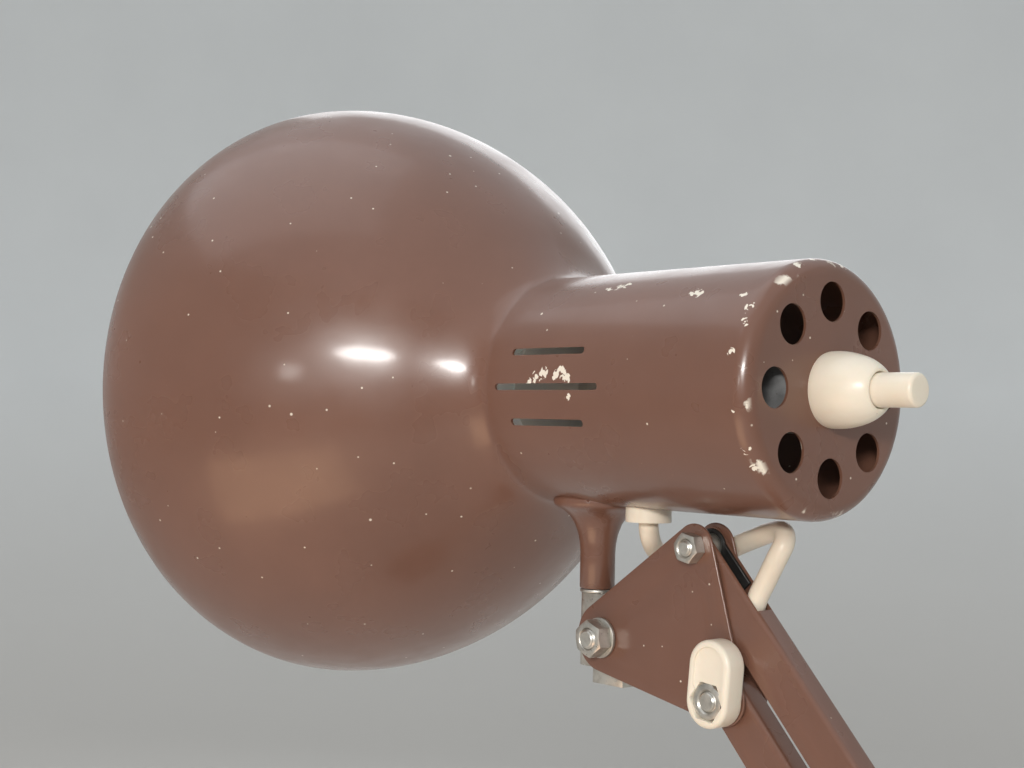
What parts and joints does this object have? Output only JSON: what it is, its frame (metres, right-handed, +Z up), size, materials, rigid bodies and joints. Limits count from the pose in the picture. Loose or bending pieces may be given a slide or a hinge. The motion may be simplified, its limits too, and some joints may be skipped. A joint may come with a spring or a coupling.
{
  "type": "desk lamp",
  "caption": "Brown architect desk lamp: deep round shade with a vented neck and push switch, on two parallelogram arms with a swivelling weighted foot.",
  "frame": {"origin": "centre of the foot's underside, on the swivel axis", "axes": "+Z up; +X from the foot towards the elbow, with the shade opening towards -X at rest; -Y is the side of the friction lever"},
  "size_m": [0.4945, 0.2833, 0.8968],
  "materials": {
    "brown_paint": "semi-gloss sprayed paint with small chips",
    "cream_plastic": "aged cream moulding, satin",
    "zinc_steel": "zinc plated, slightly dull",
    "bracket_aluminium": "bare sheet",
    "holder_plastic": "moulded, matt",
    "cap_brass": "rolled cap",
    "bulb_glass": "frosted glass",
    "cream_cord": "smooth flexible cord",
    "black_plastic": "moulded black",
    "weight_iron": "raw casting",
    "grey_felt": "pressed felt",
    "plug_plastic": "moulded plug",
    "plug_metal": "plated pins"
  },
  "bodies": {
    "foot": {"foot_cover": "brown_paint", "foot_weight": "weight_iron", "weight_screws": "zinc_steel", "foot_bush": "black_plastic", "felt_pad": "grey_felt", "foot_cord_run": "cream_cord", "cord_gland": "black_plastic", "mains_lead": "cream_cord", "cord_coil": "cream_cord", "coil_tie": "black_plastic", "plug_lead": "cream_cord", "plug_body": "plug_plastic", "plug_pins": "plug_metal"},
    "turret": {"turret_block": "brown_paint", "turret_plate_front": "brown_paint", "turret_plate_back": "brown_paint", "turret_bolts": "zinc_steel", "turret_nuts": "zinc_steel", "turret_sleeves": "zinc_steel", "turret_washer": "black_plastic", "turret_cord_loop": "cream_cord", "spigot_nut": "zinc_steel"},
    "lower_arm_main": {"lower_bar_right": "brown_paint", "lower_cord_run": "cream_cord"},
    "lower_arm_link": {"lower_bar_left": "brown_paint"},
    "elbow": {"elbow_plate_front": "brown_paint", "elbow_plate_back": "brown_paint", "elbow_bolts": "zinc_steel", "elbow_nuts": "zinc_steel", "elbow_sleeves": "zinc_steel", "elbow_cord_loop": "cream_cord"},
    "upper_arm_main": {"upper_bar_top": "brown_paint", "bar_end_liner": "black_plastic", "upper_cord_run": "cream_cord"},
    "upper_arm_link": {"upper_bar_low": "brown_paint"},
    "head_bracket": {"head_plate_front": "brown_paint", "head_plate_back": "brown_paint", "tilt_washers": "zinc_steel", "head_bolts": "zinc_steel", "head_nuts": "zinc_steel", "head_sleeves": "zinc_steel", "head_cord_loop": "cream_cord"},
    "lever": {"friction_lever": "cream_plastic", "lever_nut": "zinc_steel"},
    "knuckle": {"swivel_block": "zinc_steel", "swivel_nut": "zinc_steel", "knuckle_strap": "zinc_steel"},
    "head": {"shade": "brown_paint", "neck_bracket": "bracket_aluminium", "lamp_holder": "holder_plastic", "holder_screws": "zinc_steel", "bulb_cap": "cap_brass", "bulb_glass": "bulb_glass", "switch_body": "holder_plastic", "switch_boss": "cream_plastic", "switch_spring": "zinc_steel", "cord_grommet": "cream_plastic", "stem": "brown_paint", "stem_washer": "zinc_steel"},
    "switch_button": {"switch_plunger": "cream_plastic"}
  },
  "joints": [
    {"name": "base_swivel", "type": "hinge", "parent": "foot", "child": "turret", "pos_m": [0, 0, 0.04], "axis": [0, 0, 1], "range_deg": [-170, 170]},
    {"name": "lower_arm_tilt", "type": "hinge", "parent": "turret", "child": "lower_arm_main", "pos_m": [0.015, 0, 0.072], "axis": [0, -1, 0], "range_deg": [-12, 35], "deforming": ["turret_cord_loop"]},
    {"name": "lower_arm_follow", "type": "hinge", "parent": "turret", "child": "lower_arm_link", "pos_m": [-0.015, 0, 0.072], "axis": [0, -1, 0], "range_deg": [-12, 35]},
    {"name": "elbow_level", "type": "hinge", "parent": "lower_arm_main", "child": "elbow", "pos_m": [0.205, 0, 0.40109], "axis": [0, -1, 0], "range_deg": [-35, 12], "deforming": ["elbow_cord_loop"]},
    {"name": "upper_arm_tilt", "type": "hinge", "parent": "elbow", "child": "upper_arm_main", "pos_m": [0.185, 0, 0.46909], "axis": [0, -1, 0], "range_deg": [-7, 43]},
    {"name": "upper_arm_follow", "type": "hinge", "parent": "elbow", "child": "upper_arm_link", "pos_m": [0.197, 0, 0.42709], "axis": [0, -1, 0], "range_deg": [-7, 43]},
    {"name": "head_level", "type": "hinge", "parent": "upper_arm_main", "child": "head_bracket", "pos_m": [-0.07416, 0, 0.747], "axis": [0, -1, 0], "range_deg": [-43, 7], "deforming": ["head_cord_loop"]},
    {"name": "head_tilt", "type": "hinge", "parent": "head_bracket", "child": "knuckle", "pos_m": [-0.11116, 0, 0.7166], "axis": [0, -1, 0], "range_deg": [-1, 95]},
    {"name": "head_swivel", "type": "hinge", "parent": "knuckle", "child": "head", "pos_m": [-0.11876, 0, 0.7428], "axis": [0, 0, 1], "range_deg": [-110, 110]},
    {"name": "switch_press", "type": "slide", "parent": "head", "child": "switch_button", "axis": [-1, 0, 0], "range_m": [0, 0.003], "stiffness_N_per_m": 400, "springref_m": -0.002, "deforming": ["switch_spring"]},
    {"name": "lever_turn", "type": "hinge", "parent": "head_bracket", "child": "lever", "pos_m": [-0.06216, 0, 0.705], "axis": [0, -1, 0], "range_deg": [-60, 60]}
  ],
  "couplings": [
    {"joint": "lower_arm_follow", "follows": "lower_arm_tilt", "ratio": 1},
    {"joint": "elbow_level", "follows": "lower_arm_tilt", "ratio": -1},
    {"joint": "upper_arm_follow", "follows": "upper_arm_tilt", "ratio": 1},
    {"joint": "head_level", "follows": "upper_arm_tilt", "ratio": -1}
  ]
}
